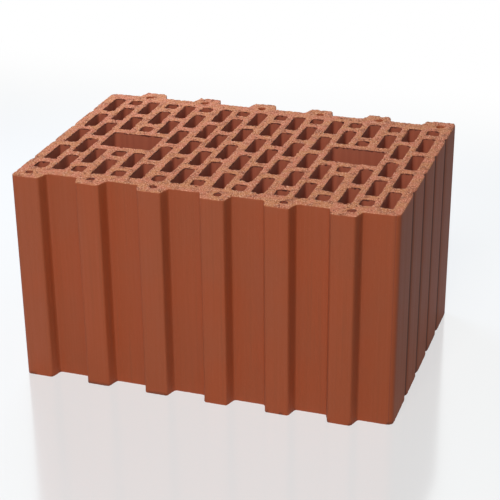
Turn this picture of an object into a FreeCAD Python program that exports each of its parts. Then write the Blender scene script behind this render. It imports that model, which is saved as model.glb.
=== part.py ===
import FreeCAD, Part
import os
from math import sin, tan

# Hollow clay block: one piece of clay, pressed through a die along Z, cut to length by wire and fired.
# Millimetres. X runs along the row of tongues, Y from the front face to the back face, Z is up.
# The origin is at the middle of the bottom. A half turn about Z brings the slots, grip holes and end
# faces onto themselves, while the tongues at the back stand opposite the recesses at the front.

# Overall sizes
block_length = 380.0
face_pitch = 250.0  # from the recess floors of one long face to the tongue tips of the other
block_height = 219.0
tip_corner_radius = 4.0  # at the two ends where a tongue runs into the corner
floor_corner_radius = 7.0  # at the two other ends

# Tongues on the two long faces
tongue_count = 6
tongue_depth = 13.0
tongue_root_width = 31.2
tongue_tip_width = 23.2
first_tongue_inset = 1.0  # end face to the foot of the front's first tongue, which fills the corner
last_recess_extra = 2.8  # the front's last recess is wider than the others by this
tongue_tip_radius = 2.5
tongue_root_radius = 2.0

# Slots, in groups of columns
group_count = 6
columns_per_group = 3
end_shell = 10.4
face_shell = 13.75
thin_web = 6.9
group_web = 9.2
cross_web = 8.5
short_slot = 15.5
long_slots_per_column = 4
slot_corner_cut = 1.6  # the die's cores have their corners taken off
largest_corner_share = 0.45  # a hole's corners take up at most this share of its smaller side

# Grip holes, each in place of one slot in a few columns
column_count_before_grip = 2
grip_column_count = 3
row_count_before_grip = 2
grip_radius = 3.5

# Round holes at the feet of the tongues
pin_diameter = 6.0
pin_inset = 12.4  # foot of the first tongue to the middle of its hole
pin_drift = 1.6  # each hole lies this much further along its tongue than the one before

# Grooves down the two end faces
groove_count = 4
groove_width = 7.0
groove_depth = 2.2
groove_pitch = 48.0
first_groove = 57.0  # recess floors to the nearest groove

# Worked out from the sizes above
half_length = block_length / 2
body_depth = face_pitch - tongue_depth  # between the recess floors of the two long faces
half_body = body_depth / 2
half_depth = half_body + tongue_depth
tongue_pitch = (block_length - first_tongue_inset - last_recess_extra) / tongue_count
front_start = -half_length + first_tongue_inset
back_start = front_start + tongue_pitch / 2
columns = group_count * columns_per_group
inner_webs = group_count * (columns_per_group - 1) * thin_web + (group_count - 1) * group_web
slot_width = (block_length - 2 * end_shell - inner_webs) / columns
cross_webs = long_slots_per_column * cross_web
long_slot = (body_depth - 2 * face_shell - short_slot - cross_webs) / long_slots_per_column


def rounded_loop(points):
    """A closed wire through corners (x, y, radius), each rounded by its own radius."""
    arcs = []
    for i, (x, y, radius) in enumerate(points):
        corner = FreeCAD.Vector(x, y, 0)
        back = FreeCAD.Vector(*points[i - 1][:2], 0) - corner
        ahead = FreeCAD.Vector(*points[(i + 1) % len(points)][:2], 0) - corner
        half_angle = back.getAngle(ahead) / 2
        middle = back.normalize() + ahead.normalize()
        middle.normalize()
        reach = radius / tan(half_angle)
        depth = radius / sin(half_angle) - radius
        arcs.append((corner + back * reach, corner + middle * depth, corner + ahead * reach))
    edges = []
    for i, (start, middle, end) in enumerate(arcs):
        edges.append(Part.Arc(start, middle, end).toShape())
        edges.append(Part.LineSegment(end, arcs[(i + 1) % len(arcs)][0]).toShape())
    return Part.Wire(edges)


def tongue_corners(start, side):
    """Corners of one long face's tongues from left to right; side is -1 at the front, 1 at the back."""
    flank = (tongue_root_width - tongue_tip_width) / 2
    floor, tip = side * half_body, side * half_depth
    corners = []
    for number in range(tongue_count):
        left = start + number * tongue_pitch
        right = left + tongue_root_width
        corners.append((left, floor, tongue_root_radius))
        corners.append((left + flank, tip, tongue_tip_radius))
        corners.append((right - flank, tip, tongue_tip_radius))
        corners.append((right, floor, tongue_root_radius))
    return corners


def outline():
    """The section's outer edge: the first tongue at the front and the last at the back fill a corner."""
    front_tip = (-half_length, -half_depth, tip_corner_radius)
    front_floor = (half_length, -half_body, floor_corner_radius)
    back_tip = (half_length, half_depth, tip_corner_radius)
    back_floor = (-half_length, half_body, floor_corner_radius)
    front = [front_tip] + tongue_corners(front_start, -1)[2:] + [front_floor]
    back = [back_floor] + tongue_corners(back_start, 1)[:-2] + [back_tip]
    return rounded_loop(front + back[::-1])


def odd_rows():
    """Start and end in Y of each slot in the first column: the short slot lies at the front."""
    lengths = [short_slot] + [long_slot] * long_slots_per_column
    rows, start = [], -half_body + face_shell
    for length in lengths:
        rows.append((start, start + length))
        start += length + cross_web
    return rows


def column_sides():
    """Start and end in X of each column of slots, from left to right."""
    sides, start = [], -half_length + end_shell
    for column in range(columns):
        sides.append((start, start + slot_width))
        last_of_group = column % columns_per_group == columns_per_group - 1
        start += slot_width + (group_web if last_of_group else thin_web)
    return sides


def left_grip():
    """The left grip hole as (x0, x1, y0, y1)."""
    sides = column_sides()
    across = sides[column_count_before_grip:][:grip_column_count]
    y0, y1 = odd_rows()[row_count_before_grip]
    return across[0][0], across[-1][1], y0, y1


def grip_holes():
    x0, x1, y0, y1 = left_grip()
    return [(x0, x1, y0, y1), (-x1, -x0, -y1, -y0)]


def slots():
    """Every slot as (x0, x1, y0, y1); beside a grip hole a slot ends one cross web away from it."""
    odd = odd_rows()
    even = [(-y1, -y0) for y0, y1 in reversed(odd)]
    boxes = []
    for column, (x0, x1) in enumerate(column_sides()):
        pieces = even if column % 2 else odd
        for grip_x0, grip_x1, grip_y0, grip_y1 in grip_holes():
            if grip_x0 < (x0 + x1) / 2 < grip_x1:
                before = [(y0, min(y1, grip_y0 - cross_web)) for y0, y1 in pieces]
                after = [(max(y0, grip_y1 + cross_web), y1) for y0, y1 in pieces]
                pieces = [(y0, y1) for y0, y1 in before + after if y1 > y0]
        boxes += [(x0, x1, y0, y1) for y0, y1 in pieces]
    return boxes


def corner_size(sides, wanted):
    x0, x1, y0, y1 = sides
    return min(wanted, largest_corner_share * min(x1 - x0, y1 - y0))


def slot_loop(sides):
    x0, x1, y0, y1 = sides
    cut = corner_size(sides, slot_corner_cut)
    corners = [(x0, y0 + cut), (x0 + cut, y0), (x1 - cut, y0), (x1, y0 + cut)]
    corners += [(x1, y1 - cut), (x1 - cut, y1), (x0 + cut, y1), (x0, y1 - cut)]
    return Part.makePolygon([FreeCAD.Vector(x, y, 0) for x, y in corners + corners[:1]])


def grip_loop(sides):
    x0, x1, y0, y1 = sides
    radius = corner_size(sides, grip_radius)
    return rounded_loop([(x, y, radius) for x, y in [(x0, y0), (x1, y0), (x1, y1), (x0, y1)]])


def pin_loops():
    loops = []
    for start, side in [(front_start, -1), (back_start, 1)]:
        for number in range(tongue_count):
            x = start + pin_inset + number * (tongue_pitch + pin_drift)
            circle = Part.makeCircle(pin_diameter / 2, FreeCAD.Vector(x, side * half_body, 0))
            loops.append(Part.Wire(circle))
    return loops


def end_grooves():
    """Round-bottomed grooves down both end faces, as solids to cut away."""
    radius = (groove_width ** 2 / 4 + groove_depth ** 2) / (2 * groove_depth)
    grooves = []
    for number in range(groove_count):
        y = -half_body + first_groove + number * groove_pitch
        for side in (1, -1):
            place = FreeCAD.Vector(side * (half_length + radius - groove_depth), side * y, 0)
            grooves.append(Part.makeCylinder(radius, block_height, place))
    return grooves


def clay_block():
    loops = [outline()]
    loops += [slot_loop(sides) for sides in slots()]
    loops += [grip_loop(sides) for sides in grip_holes()]
    loops += pin_loops()
    section = Part.makeFace(loops, "Part::FaceMakerBullseye")
    body = section.extrude(FreeCAD.Vector(0, 0, block_height))
    return body.cut(end_grooves())


os.makedirs("parts", exist_ok=True)
block = clay_block()
block.exportStep("parts/clay_block.step")
bounds = block.BoundBox
print("clay_block", len(block.Solids), "solid", block.isValid(), round(block.Volume / 1000), "cubic cm")
print("box", bounds.XLength, bounds.YLength, bounds.ZLength, "centre", bounds.Center)
print("slots", len(slots()), "slot width", round(slot_width, 2), "long slot", round(long_slot, 2))
print("tongue pitch", round(tongue_pitch, 2), "pin pitch", round(tongue_pitch + pin_drift, 2))
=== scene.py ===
import math
import bpy
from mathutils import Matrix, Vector, kdtree, noise


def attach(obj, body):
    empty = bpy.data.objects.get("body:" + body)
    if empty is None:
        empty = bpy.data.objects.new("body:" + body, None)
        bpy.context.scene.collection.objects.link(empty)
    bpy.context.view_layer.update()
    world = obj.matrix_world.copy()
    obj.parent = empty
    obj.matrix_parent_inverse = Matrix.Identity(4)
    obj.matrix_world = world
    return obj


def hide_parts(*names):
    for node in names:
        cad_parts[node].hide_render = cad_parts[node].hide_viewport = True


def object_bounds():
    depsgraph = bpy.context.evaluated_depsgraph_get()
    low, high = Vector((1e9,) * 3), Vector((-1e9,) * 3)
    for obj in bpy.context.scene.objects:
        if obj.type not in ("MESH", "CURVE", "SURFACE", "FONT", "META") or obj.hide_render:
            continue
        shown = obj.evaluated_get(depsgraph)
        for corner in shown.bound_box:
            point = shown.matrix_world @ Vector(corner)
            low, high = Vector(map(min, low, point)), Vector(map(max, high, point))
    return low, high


# Hollow clay block on a pale floor. A die has pressed its sides smooth, and the cutting wire has
# torn its top and bottom. Metres, with X along the row of tongues, Y towards the back and Z up.

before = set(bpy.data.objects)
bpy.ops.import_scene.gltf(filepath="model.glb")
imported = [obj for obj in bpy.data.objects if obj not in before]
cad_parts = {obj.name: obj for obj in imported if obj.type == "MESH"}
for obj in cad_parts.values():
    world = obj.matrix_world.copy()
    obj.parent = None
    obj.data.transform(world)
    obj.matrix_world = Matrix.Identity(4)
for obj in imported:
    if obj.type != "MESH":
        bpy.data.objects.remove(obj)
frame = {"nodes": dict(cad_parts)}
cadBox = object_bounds()
low, high = cadBox
height = high.z
print("frame loaded:", ", ".join(frame["nodes"]))


def only(piece):
    bpy.ops.object.select_all(action="DESELECT")
    piece.select_set(True)
    bpy.context.view_layer.objects.active = piece


def pick(piece, wanted):
    # selects the faces for which wanted(face) holds, and stays in edit mode
    bpy.ops.object.mode_set(mode="EDIT")
    bpy.ops.mesh.select_mode(type="FACE")
    bpy.ops.mesh.select_all(action="DESELECT")
    bpy.ops.object.mode_set(mode="OBJECT")
    faces = piece.data.polygons
    faces.foreach_set("select", [wanted(face) for face in faces])
    bpy.ops.object.mode_set(mode="EDIT")


def smoothStep(start, end, value):
    share = min(max((value - start) / (end - start), 0), 1)
    return share * share * (3 - 2 * share)


# The block: its section is cut out of a fine sheet of cells, then drawn up to its height
cells = {
    "width": 0.00135,
    "merge": 0.00045,                  # points of the cut sheet nearer than this become one
    "touching": 0.00001,               # points and levels nearer than this count as the same
    "margin": 0.004,                   # how far the sheet reaches past the block
    "slab": 0.01,                      # its thickness while it is cut
    "level": 0.5,                      # faces with more Z than this in their normal are level
    "rings": (0.0016, 0.004, 0.009),   # rings round the walls, this far under the top
    "footRing": 0.004,                 # and one this far above the foot
    "footPatch": 0.03,                 # the underside is left in patches of about this size
    "flat": 1,                         # degrees; a patch's faces that differ by less become one
    "sharp": 50,                       # degrees; edges up to this are shaded smooth
    "endBand": 0.004,                  # walls this near to an end belong to it, grooves too
    "faceBand": 0.0135,                # and this near to the tongues' tips, to a long face
    "endFlat": 0.1,                    # grooves are nearer to the middle than this
    "pinReach": 0.006,                 # round holes reach less far than this from their middle,
    "pinRadius": 0.003,
    "slotReach": 0.06,                 # slots and grip holes less than this, the outline more
    "slotEasing": 5,                   # how many times their corners are eased
    "outlineEasing": 4,
    "grooveEasing": 12,                # the grooves end up shallow, with soft edges
}


def isOuter(place):
    return abs(place.x) > high.x - cells["endBand"] or abs(place.y) > high.y - cells["faceBand"]


def isGrooved(place):
    return abs(place.x) > high.x - cells["endBand"] and abs(place.y) < cells["endFlat"]


def mergedCopy(name):
    node = frame["nodes"][name]
    copy = bpy.data.objects.new(name + "Copy", node.data.copy())
    bpy.context.scene.collection.objects.link(copy)
    only(copy)
    bpy.ops.object.mode_set(mode="EDIT")
    bpy.ops.mesh.select_all(action="SELECT")
    bpy.ops.mesh.remove_doubles(threshold=cells["touching"])
    bpy.ops.object.mode_set(mode="OBJECT")
    return copy


def gridSlab(name):
    size = high - low + Vector((2, 2, 0)) * cells["margin"]
    bpy.ops.object.select_all(action="DESELECT")
    bpy.ops.mesh.primitive_grid_add(
        x_subdivisions=round(size.x / cells["width"]),
        y_subdivisions=round(size.y / cells["width"]),
        size=1, location=(low + high) / 2)
    slab = bpy.context.object
    slab.name = name
    slab.scale = (size.x, size.y, 1)
    bpy.ops.object.transform_apply(location=True, scale=True)
    bpy.ops.object.mode_set(mode="EDIT")
    bpy.ops.mesh.extrude_region_move(TRANSFORM_OT_translate={"value": (0, 0, cells["slab"])})
    bpy.ops.mesh.select_all(action="SELECT")
    bpy.ops.mesh.normals_make_consistent(inside=False)
    bpy.ops.object.mode_set(mode="OBJECT")
    return slab


def sectionSheet():
    solid = mergedCopy("clay_block")
    sheet = gridSlab("fired_clay_block")
    cut = sheet.modifiers.new("section", "BOOLEAN")
    cut.operation = "INTERSECT"
    cut.solver = "MANIFOLD"
    cut.object = solid
    bpy.ops.object.modifier_apply(modifier=cut.name)
    bpy.data.objects.remove(solid)
    # only the slab's top stays, and goes down to the floor
    level = max(corner[2] for corner in sheet.bound_box)
    middle = level - cells["slab"] / 2
    pick(sheet, lambda face: face.normal.z < cells["level"] or face.center.z < middle)
    bpy.ops.mesh.delete(type="FACE")
    bpy.ops.mesh.select_all(action="SELECT")
    bpy.ops.mesh.remove_doubles(threshold=cells["merge"])
    bpy.ops.mesh.dissolve_degenerate(threshold=cells["touching"])
    bpy.ops.mesh.select_all(action="SELECT")
    bpy.ops.transform.translate(value=(0, 0, -level))
    pick(sheet, lambda face: face.normal.z < 0)      # folded over by the merging
    bpy.ops.mesh.edge_collapse()
    bpy.ops.object.mode_set(mode="OBJECT")
    print("section cut:", len(sheet.data.polygons), "cells")
    return sheet


def edgeLoops(mesh):
    # the points along each edge of the sheet, in order
    uses = {}
    for face in mesh.polygons:
        for edge in face.edge_keys:
            uses[edge] = uses.get(edge, 0) + 1
    beside = {}
    for edge, count in uses.items():
        if count == 1:
            for here, there in (edge, edge[::-1]):
                beside.setdefault(here, []).append(there)
    loops, left = [], set(beside)
    while left:
        loop = [left.pop()]
        ahead = beside[loop[0]]
        while any(point in left for point in ahead):
            loop.append(next(point for point in ahead if point in left))
            left.remove(loop[-1])
            ahead = beside[loop[-1]]
        loops.append(loop)
    return loops


def middleOf(places):
    sides = [[place[k] for place in places] for k in range(3)]
    return Vector([(min(side) + max(side)) / 2 for side in sides])


def eased(places, passes):
    # each point goes half the way to the middle of its two neighbours, a few times
    for step in range(passes):
        middles = [(places[i - 1] + places[(i + 1) % len(places)]) / 2 for i in range(len(places))]
        places = [place.lerp(middle, 0.5) for place, middle in zip(places, middles)]
    return places


def roundEdges(mesh, loops):
    # the round holes become true circles, and the corners of all other edges are rounded
    pins = []
    for loop in loops:
        places = [mesh.vertices[point].co.copy() for point in loop]
        middle = middleOf(places)
        reach = max((place - middle).length for place in places)
        if reach < cells["pinReach"]:
            pins.append(middle)
            radius = cells["pinRadius"]
            places = [middle + (place - middle).normalized() * radius for place in places]
        elif reach < cells["slotReach"]:
            places = eased(places, cells["slotEasing"])
        else:
            soft = eased(places, cells["grooveEasing"])
            firm = eased(places, cells["outlineEasing"])
            places = [there if isGrooved(here) else here for there, here in zip(soft, firm)]
        for point, place in zip(loop, places):
            mesh.vertices[point].co = place
    print("edges rounded:", len(loops), "of which round holes:", len(pins))
    return pins


def drawUp(sheet):
    only(sheet)
    bpy.ops.object.mode_set(mode="EDIT")
    bpy.ops.mesh.select_all(action="SELECT")
    levels = [0, cells["footRing"]] + [height - ring for ring in cells["rings"][::-1]] + [height]
    for below, above in zip(levels, levels[1:]):
        bpy.ops.mesh.extrude_region_move(TRANSFORM_OT_translate={"value": (0, 0, above - below)})
    bpy.ops.mesh.select_all(action="SELECT")
    bpy.ops.mesh.normals_make_consistent(inside=False)
    bpy.ops.object.mode_set(mode="OBJECT")
    for face in sheet.data.polygons:
        across, back = [int(along // cells["footPatch"]) for along in face.center[:2]]
        face.material_index = (across + back) % 2
    pick(sheet, lambda face: face.center.z < cells["touching"])
    bpy.ops.mesh.dissolve_limited(angle_limit=math.radians(cells["flat"]), delimit={"MATERIAL"})
    bpy.ops.object.mode_set(mode="OBJECT")
    triangles = sum(len(face.vertices) - 2 for face in sheet.data.polygons)
    print("block drawn up:", triangles, "triangles")


# What the wire does to the cut face: it drags clay along Y, towards the back
tearing = {
    "plane": 0.0005,         # the cut face lies this far under the full height
    "swell": 0.00025,        # slow unevenness
    "grain": 0.0002,
    "ragged": 0.00036,       # sideways unevenness of the edges
    "raggedDepth": 0.0035,   # how fast it fades down the walls
    "teeth": 0.0009,         # and finer unevenness, nearer to the edge
    "teethDepth": 0.0009,
    "calmFront": 0.35,       # share of all this on edges that face the front
    "burr": 0.0005,          # clay standing up on edges that face the back
    "worn": 0.0005,          # and rubbed down elsewhere
    "chip": 0.0014,          # depth of a chip
    "outerChip": 0.0007,     # on the block's outer edges
    "chipFrom": 0.36,        # the noise at which a chip starts,
    "chipFull": 0.6,         # and at which it is full
    "chipInward": 0.5,       # share of the depth that a chip goes into the wall
    "chipDepth": 0.002,      # how fast it fades down the walls
    "reach": 0.0022,         # how far from an edge the face is bent
    "drag": 0.003,           # how far from an edge the face is pulled sideways with it
    "fade": 0.01,            # walls are torn this far from the top and the foot, at most
    "pinTear": 0.0013,       # the round holes are torn open by this much
    "pinReach": 0.0045,
    # each kind's noise: how long its swells are, its seed, and its mean and swing if not 0 and 1
    "noise": {
        "swell": {"length": 0.02, "seed": 3},
        "ragged": {"length": 0.005, "seed": 5},
        "teeth": {"length": 0.0012, "seed": 9},
        "grain": {"length": 0.0026, "seed": 17},
        "chip": {"length": 0.006, "seed": 31},
        "worn": {"length": 0.005, "seed": 41, "mean": 0.6},
        "burr": {"length": 0.002, "seed": 53, "mean": 0.5, "swing": 1.5},
        "pin": {"length": 0.003, "seed": 61, "mean": 0.9, "swing": 0.7},
    },
}


def wallSides(mesh):
    # the way out of the clay, level, at each point of a wall
    sides = {}
    for face in mesh.polygons:
        if abs(face.normal.z) < cells["level"]:
            for point in face.vertices:
                sides[point] = sides.get(point, Vector((0, 0, 0))) + face.normal * face.area
    for side in sides.values():
        side.z = 0
        side.normalize()
    return sides


def swells(place, kind):
    # the noise of this kind, twice as long along Z; its seed takes it from another place
    row = tearing["noise"][kind]
    start = Vector((row["seed"], row["seed"] / 3, 0))
    value = noise.noise(Vector((place.x, place.y, place.z / 2)) / row["length"] + start)
    return row.get("mean", 0) + row.get("swing", 1) * value


def strength(side):
    # how strongly an edge is torn: least where it faces the front, most where it faces the back
    return tearing["calmFront"] + (1 - tearing["calmFront"]) * (side.y + 1) / 2


def chipAt(place, side):
    share = smoothStep(tearing["chipFrom"], tearing["chipFull"], swells(place, "chip"))
    return tearing["outerChip" if isOuter(place) else "chip"] * share * strength(side)


def wallShift(place, side, pins):
    depth = height - place.z
    edge = min(depth, place.z)
    rag = tearing["ragged"] * swells(place, "ragged") * math.exp(-edge / tearing["raggedDepth"])
    teeth = tearing["teeth"] * swells(place, "teeth") * math.exp(-edge / tearing["teethDepth"])
    chip = chipAt(place, side) * tearing["chipInward"] * math.exp(-depth / tearing["chipDepth"])
    shift = (rag + teeth) * strength(side) - chip
    if pins.find((place.x, place.y, 0))[2] < tearing["pinReach"]:
        torn = tearing["pinTear"] * swells(place, "pin")
        shift -= torn * math.exp(-depth / tearing["raggedDepth"])
    return side * shift


def topShift(place, side, away):
    # side belongs to the nearest edge, and away is the distance to it
    near = 1 - smoothStep(0, tearing["reach"], away)
    lift = -tearing["plane"] + tearing["swell"] * swells(place, "swell")
    lift += tearing["grain"] * swells(place, "grain")
    back = max(side.y, 0) ** 2
    lift += near * back * tearing["burr"] * swells(place, "burr")
    lift -= near * (1 - back) * tearing["worn"] * swells(place, "worn")
    return min(lift - near * chipAt(place, side), 0)


def tree(places):
    made = kdtree.KDTree(len(places))
    for number, place in enumerate(places):
        made.insert(place, number)
    made.balance()
    return made


def tear(mesh, pinPlaces):
    points = mesh.vertices
    topLevel = height - cells["touching"]
    sides = wallSides(mesh)
    rim = [point for point in sides if points[point].co.z > topLevel]
    rimTree, pins = tree([points[point].co for point in rim]), tree(pinPlaces)
    rimShifts = [wallShift(points[point].co, sides[point], pins) for point in rim]
    moved = {}
    for point in points:
        place, side = point.co, sides.get(point.index)
        if place.z > topLevel:
            near, number, away = rimTree.find(place)
            shift = rimShifts[number] * (1 - smoothStep(0, tearing["drag"], away))
            shift.z = topShift(place, sides[rim[number]], away)
            moved[point.index] = place + shift
        elif side and min(height - place.z, place.z) < tearing["fade"]:
            moved[point.index] = place + wallShift(place, side, pins)
    for index, place in moved.items():
        points[index].co = [min(max(place[k], low[k]), high[k]) for k in range(3)]
    print("edges torn:", len(rim), "rim points,", len(moved), "points moved")


class Wire:
    # a socket that takes part in sums
    def __init__(self, look, socket):
        self.look = look
        self.socket = socket

    def __add__(self, other):
        return self.look.maths("ADD", self, other)

    def __sub__(self, other):
        return self.look.maths("SUBTRACT", self, other)

    def __rsub__(self, other):
        return self.look.maths("SUBTRACT", other, self)

    def __mul__(self, other):
        return self.look.maths("MULTIPLY", self, other)

    __radd__ = __add__
    __rmul__ = __mul__


class Look:
    # the nodes of one material or world
    def __init__(self, owner):
        owner.use_nodes = True
        self.owner = owner
        self.tree = owner.node_tree
        self.tree.nodes.clear()

    def node(self, kind, settings=None, values=None, out=0):
        made = self.tree.nodes.new("ShaderNode" + kind)
        for key, value in (settings or {}).items():
            setattr(made, key, value)
        for key, value in (values or {}).items():
            if isinstance(value, Wire):
                self.tree.links.new(value.socket, made.inputs[key])
            else:
                made.inputs[key].default_value = value
        return Wire(self, made.outputs[out]) if made.outputs else None

    def maths(self, operation, first, second):
        return self.node("Math", {"operation": operation}, {0: first, 1: second})

    def axis(self, name):
        return self.node("SeparateXYZ", None, {0: self.place}, out=name)

    def pattern(self, scale, detail=2, rough=0.5):
        # noise with about this many swells to the metre along X, Y and Z
        where = self.node("VectorMath", {"operation": "MULTIPLY"}, {0: self.place, 1: scale})
        return self.node("TexNoise", None, {
            "Vector": where, "Scale": 1, "Detail": detail, "Roughness": rough})

    def between(self, value, start, end):
        # 0 up to start and 1 from end on
        return self.node("MapRange", {"interpolation_type": "SMOOTHSTEP"}, {
            "Value": value, "From Min": start, "From Max": end})

    def outward(self, name, start, end):
        # the same by the distance from the middle along one axis, to both sides
        along = self.axis(name)
        return self.between(along * along, start ** 2, end ** 2)

    def mix(self, share, first, second):
        return self.node("Mix", {"data_type": "RGBA"}, {0: share, 6: first, 7: second}, out=2)

    def blend(self, share, first, second):
        return self.node("MixShader", None, {0: share, 1: first, 2: second})

    def surface(self, finish, colour, rough, relief):
        # finish is the dictionary of that finish
        normal = self.node("Bump", None, {
            "Height": relief, "Distance": finish["bumpDepth"], "Strength": finish["bump"]})
        shader = self.node("BsdfPrincipled", None, {
            "Base Color": colour, "Roughness": rough,
            "Specular IOR Level": finish["shine"], "Normal": normal})
        self.node("OutputMaterial", None, {"Surface": shader})
        return self.owner


def newLook(name):
    # a material, whose patterns follow the place on the piece
    look = Look(bpy.data.materials.new(name))
    look.place = look.node("TexCoord", out="Object")
    return look


def tone(red, green, blue):
    # a colour as a picture editor gives it, 0 to 255, made linear
    parts = [part / 255 for part in (red, green, blue)]
    return [part / 12.92 if part < 0.04045 else ((part + 0.055) / 1.055) ** 2.4
            for part in parts] + [1]


# A tone's span in these finishes: the values of its pattern where it starts and where it is full
cutClay = {
    "body": tone(192, 118, 77),
    "pink": tone(196, 112, 82),
    "pinkSpan": (0.35, 0.65),
    "dull": tone(155, 87, 60),
    "dullSpan": (0.5, 0.7),
    "pale": tone(230, 168, 136),
    "paleSpan": (0.48, 0.72),
    "warm": tone(125, 57, 30),
    "warmSpan": (0.42, 0.24),
    "dragSpan": (0.42, 0.3),      # the drag lines are warm too
    "dragShare": 0.4,
    "pit": tone(88, 30, 12),
    "pitSpan": (0.635, 0.7),
    "hue": {"scale": (70, 70, 70)},
    "patches": {"scale": (110, 110, 110)},
    "grain": {"scale": (950, 420, 600), "rough": 0.6},
    "drag": {"scale": (520, 26, 200), "detail": 3, "rough": 0.6},
    "pits": {"scale": (640, 340, 400)},
    "relief": {"grain": 0.5, "drag": 0.3, "pit": 0.8},
    "bumpDepth": 0.0007,
    "bump": 1,
    "rough": 0.95,
    "shine": 0.2,
}


def cutFaceLook():
    look = newLook("wire cut clay")
    hue, patches = look.pattern(**cutClay["hue"]), look.pattern(**cutClay["patches"])
    grain, drag = look.pattern(**cutClay["grain"]), look.pattern(**cutClay["drag"])
    pit = look.between(look.pattern(**cutClay["pits"]), *cutClay["pitSpan"])
    dragged = look.between(drag, *cutClay["dragSpan"]) * cutClay["dragShare"]
    colour = look.mix(look.between(hue, *cutClay["pinkSpan"]), cutClay["body"], cutClay["pink"])
    colour = look.mix(look.between(patches, *cutClay["dullSpan"]), colour, cutClay["dull"])
    colour = look.mix(look.between(grain, *cutClay["paleSpan"]), colour, cutClay["pale"])
    colour = look.mix(look.between(grain, *cutClay["warmSpan"]), colour, cutClay["warm"])
    colour = look.mix(dragged, colour, cutClay["warm"])
    colour = look.mix(pit, colour, cutClay["pit"])
    share = cutClay["relief"]
    relief = grain * share["grain"] + drag * share["drag"] - pit * share["pit"]
    return look.surface(cutClay, colour, cutClay["rough"], relief)


skin = {
    "body": tone(150, 65, 22),
    "warm": tone(154, 63, 13),
    "warmSpan": (0.35, 0.68),
    "dull": tone(140, 68, 34),
    "dullSpan": (0.5, 0.75),
    "dullShare": 0.5,
    "dust": tone(170, 104, 76),
    "dustSpan": (0.66, 0.74),
    "dustShare": 0.35,
    "groove": tone(70, 26, 13),      # painted shade in the bottoms of the grooves in the ends
    "grooveSpan": (0.0006, 0.0011),  # this far under the end face
    "grooveShare": 0.75,
    "endSpan": (0.185, 0.187),       # grooves are further out in X than this
    "cornerSpan": (0.108, 0.106),    # and nearer to the middle in Y
    "drift": {"scale": (14, 14, 14), "detail": 3},
    "streaks": {"scale": (420, 420, 5), "detail": 4, "rough": 0.6},
    "fine": {"scale": (1500, 1500, 18)},
    "specks": {"scale": (700, 700, 700)},
    "relief": {"streaks": 0.6, "fine": 0.3, "specks": 0.15},
    "bumpDepth": 0.0005,
    "bump": 0.8,
    "rough": 0.72,
    "roughSpan": (0.2, 0.8),
    "roughSwing": 0.16,              # from the smoothest streaks to the roughest
    "shine": 0.65,
}


def skinLook():
    look = newLook("pressed clay skin")
    drift, streaks = look.pattern(**skin["drift"]), look.pattern(**skin["streaks"])
    fine, specks = look.pattern(**skin["fine"]), look.pattern(**skin["specks"])
    dull = look.between(streaks, *skin["dullSpan"]) * skin["dullShare"]
    dust = look.between(specks, *skin["dustSpan"]) * skin["dustShare"]
    # painted shade in the bottoms of the end grooves, where the face lies under the end face
    groove = look.outward("X", *[high.x - depth for depth in skin["grooveSpan"]])
    groove = groove * look.outward("X", *skin["endSpan"]) * look.outward("Y", *skin["cornerSpan"])
    colour = look.mix(look.between(drift, *skin["warmSpan"]), skin["body"], skin["warm"])
    colour = look.mix(dull, colour, skin["dull"])
    colour = look.mix(dust, colour, skin["dust"])
    colour = look.mix(groove * skin["grooveShare"], colour, skin["groove"])
    share = skin["relief"]
    relief = streaks * share["streaks"] + fine * share["fine"] + specks * share["specks"]
    smoothest = skin["rough"] - skin["roughSwing"] / 2
    rough = look.between(streaks, *skin["roughSpan"]) * skin["roughSwing"] + smoothest
    return look.surface(skin, colour, rough, relief)


holeWall = {
    "body": tone(167, 87, 61),
    "deep": tone(158, 80, 56),
    "deepSpan": (0.3, 0.7),
    "pin": tone(134, 62, 40),      # in the round holes
    "pinSpan": (0.108, 0.112),     # which are further out in Y than all others
    "lipShade": tone(80, 28, 16),       # painted shadow: a ragged dark band just under the torn rim
    "lipShadeDepth": 0.0016,
    "lipShadeBlur": 0.0006,
    "lipShadeWander": 0.005,
    "streaks": {"scale": (300, 300, 8), "detail": 3, "rough": 0.6},
    "specks": {"scale": (500, 500, 500)},
    "wander": {"scale": (380, 380, 90)},
    "relief": {"streaks": 0.7, "specks": 0.3},
    "bumpDepth": 0.0004,
    "bump": 0.15,
    "rough": 0.85,
    "shine": 0.5,
}


def holeWallLook():
    look = newLook("pressed hole wall")
    streaks, specks = look.pattern(**holeWall["streaks"]), look.pattern(**holeWall["specks"])
    wander = look.pattern(**holeWall["wander"]) - 0.5      # half is the noise's middle
    # painted shadow on the walls just under the torn rim, with a wandering lower edge
    lipShadeLevel = height - holeWall["lipShadeDepth"]
    lipShade = look.between(
        look.axis("Z") + wander * holeWall["lipShadeWander"],
        lipShadeLevel - holeWall["lipShadeBlur"], lipShadeLevel + holeWall["lipShadeBlur"])
    deep = look.between(streaks, *holeWall["deepSpan"])
    colour = look.mix(deep, holeWall["body"], holeWall["deep"])
    colour = look.mix(look.outward("Y", *holeWall["pinSpan"]), colour, holeWall["pin"])
    colour = look.mix(lipShade, colour, holeWall["lipShade"])
    share = holeWall["relief"]
    relief = streaks * share["streaks"] + specks * share["specks"]
    return look.surface(holeWall, colour, holeWall["rough"], relief)


def dress(piece):
    # before the tearing, while the cut faces are level and the walls upright
    piece.data.materials.clear()
    for look in (cutFaceLook(), skinLook(), holeWallLook()):
        piece.data.materials.append(look)
    for face in piece.data.polygons:
        cutFace = abs(face.normal.z) > cells["level"]
        face.material_index = 0 if cutFace else 1 if isOuter(face.center) else 2
    print("dressed:", [slot.name for slot in piece.data.materials])


block = sectionSheet()
pinPlaces = roundEdges(block.data, edgeLoops(block.data))
drawUp(block)
dress(block)
tear(block.data, pinPlaces)
only(block)
bpy.ops.object.shade_smooth_by_angle(angle=math.radians(cells["sharp"]))
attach(block, "root")
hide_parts("clay_block")


plainWhite = (1, 1, 1, 1)

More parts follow.
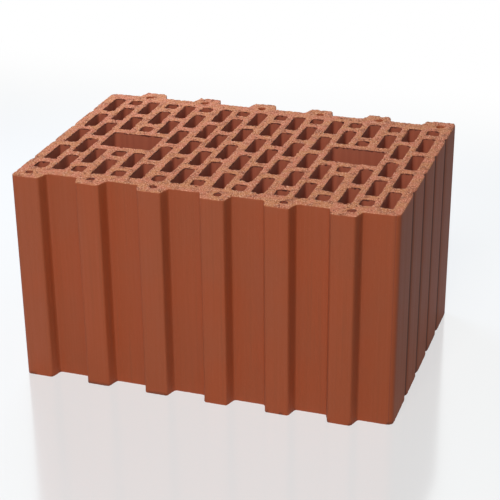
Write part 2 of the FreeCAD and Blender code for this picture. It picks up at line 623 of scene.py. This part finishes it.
stageSet = {
    "floorSize": 8,
    "floor": tone(246, 246, 246),
    "shaded": 0.16,                # share of its colour in the picture that takes light and shadow
    "gloss": 0.22,                 # share that mirrors the block and the white around it
    "glossRough": 0.13,
    "bounce": tone(235, 233, 228),
    "bounceShade": tone(94, 110, 120),    # painted shade: right of the block the floor throws less light back
    "bounceShadeSpan": (0.1, 0.35),
    "whiteSpan": (0.45, 0.9),      # behind the block the floor runs into plain white
}


def floorLook():
    # the camera sees an even, slightly glossy floor; every other ray meets a plain matt one
    look = newLook("pale floor")
    even = look.node("Emission", None, {"Color": stageSet["floor"], "Strength": 1})
    white = look.node("Emission", None, {"Color": plainWhite, "Strength": 1})
    matt, bright, dim = [
        look.node("BsdfDiffuse", None, {"Color": stageSet[name]})
        for name in ("floor", "bounce", "bounceShade")]
    gloss = look.node("BsdfAnisotropic", None, {
        "Color": plainWhite, "Roughness": stageSet["glossRough"]})
    picture = look.blend(stageSet["gloss"], look.blend(stageSet["shaded"], even, matt), gloss)
    backed = look.blend(look.between(look.axis("Y"), *stageSet["whiteSpan"]), picture, white)
    # painted shade: diffuse rays meet a darker floor right of the block
    scattered = look.node("LightPath", out="Is Diffuse Ray")
    bounceShade = look.between(look.axis("X"), *stageSet["bounceShadeSpan"]) * scattered
    seen = look.node("LightPath", out="Is Camera Ray")
    mixed = look.blend(seen, look.blend(bounceShade, bright, dim), backed)
    look.node("OutputMaterial", None, {"Surface": mixed})
    return look.owner


def addFloor():
    bpy.ops.object.select_all(action="DESELECT")
    bpy.ops.mesh.primitive_plane_add(size=stageSet["floorSize"])
    floor = bpy.context.object
    floor.name = "floor"
    floor.data.materials.append(floorLook())


lamps = {
    "key": {
        "at": (0.2, -1.68, 1.9), "size": 0.7, "mirrored": True,
        "power": 45.4, "colour": (1, 0.97, 0.92)},
    "back": {
        "at": (-0.42, 0.45, 0.64), "size": 0.4, "mirrored": False,    # it would shine in the floor
        "power": 4.6, "colour": (0.8, 0.96, 1.25)},
    "side": {
        "at": (1.4, 1, 1.3), "size": 1, "mirrored": True,
        "power": 1.4, "colour": (0.3, 0.88, 0.95)},
}


def addLamps():
    for name, lamp in lamps.items():
        bpy.ops.object.light_add(type="AREA", location=lamp["at"])
        light = bpy.context.object
        light.name = name
        light.data.size = lamp["size"]
        light.data.energy = lamp["power"]
        light.data.color = lamp["colour"]
        aim = Vector((0, 0, height / 2)) - Vector(lamp["at"])
        light.rotation_euler = aim.to_track_quat("-Z", "Y").to_euler()
        light.visible_camera = False
        light.visible_glossy = lamp["mirrored"]


studio = {
    "colour": (0.36, 1, 1.4, 1),      # light from all round
    "strength": 0.17,
}


def addWorld():
    # the camera and mirror images see plain white
    look = Look(bpy.data.worlds.new("studio"))
    around = look.node("Background", None, {
        "Color": studio["colour"], "Strength": studio["strength"]})
    white = look.node("Background", None, {"Color": plainWhite, "Strength": 1})
    seen = look.node("LightPath", out="Is Camera Ray")
    mirrored = look.node("LightPath", out="Is Glossy Ray")
    mixed = look.blend(look.maths("MAXIMUM", seen, mirrored), around, white)
    look.node("OutputWorld", None, {"Surface": mixed})
    bpy.context.scene.world = look.owner


view = {
    "at": (0.4492, -1.3167, 0.7518),
    "turn": (63.55, 0.82, 19.03),
    "lens": 107,
    "shift": (0.0417, 0.0822),
}


def addCamera():
    turn = [math.radians(degrees) for degrees in view["turn"]]
    bpy.ops.object.camera_add(location=view["at"], rotation=turn)
    camera = bpy.context.object
    camera.data.lens = view["lens"]
    camera.data.shift_x, camera.data.shift_y = view["shift"]
    bpy.context.scene.camera = camera


addFloor()
addLamps()
addWorld()
addCamera()
bpy.context.scene.view_settings.view_transform = "Standard"
print("stage set:", ", ".join(lamps), "lamps")
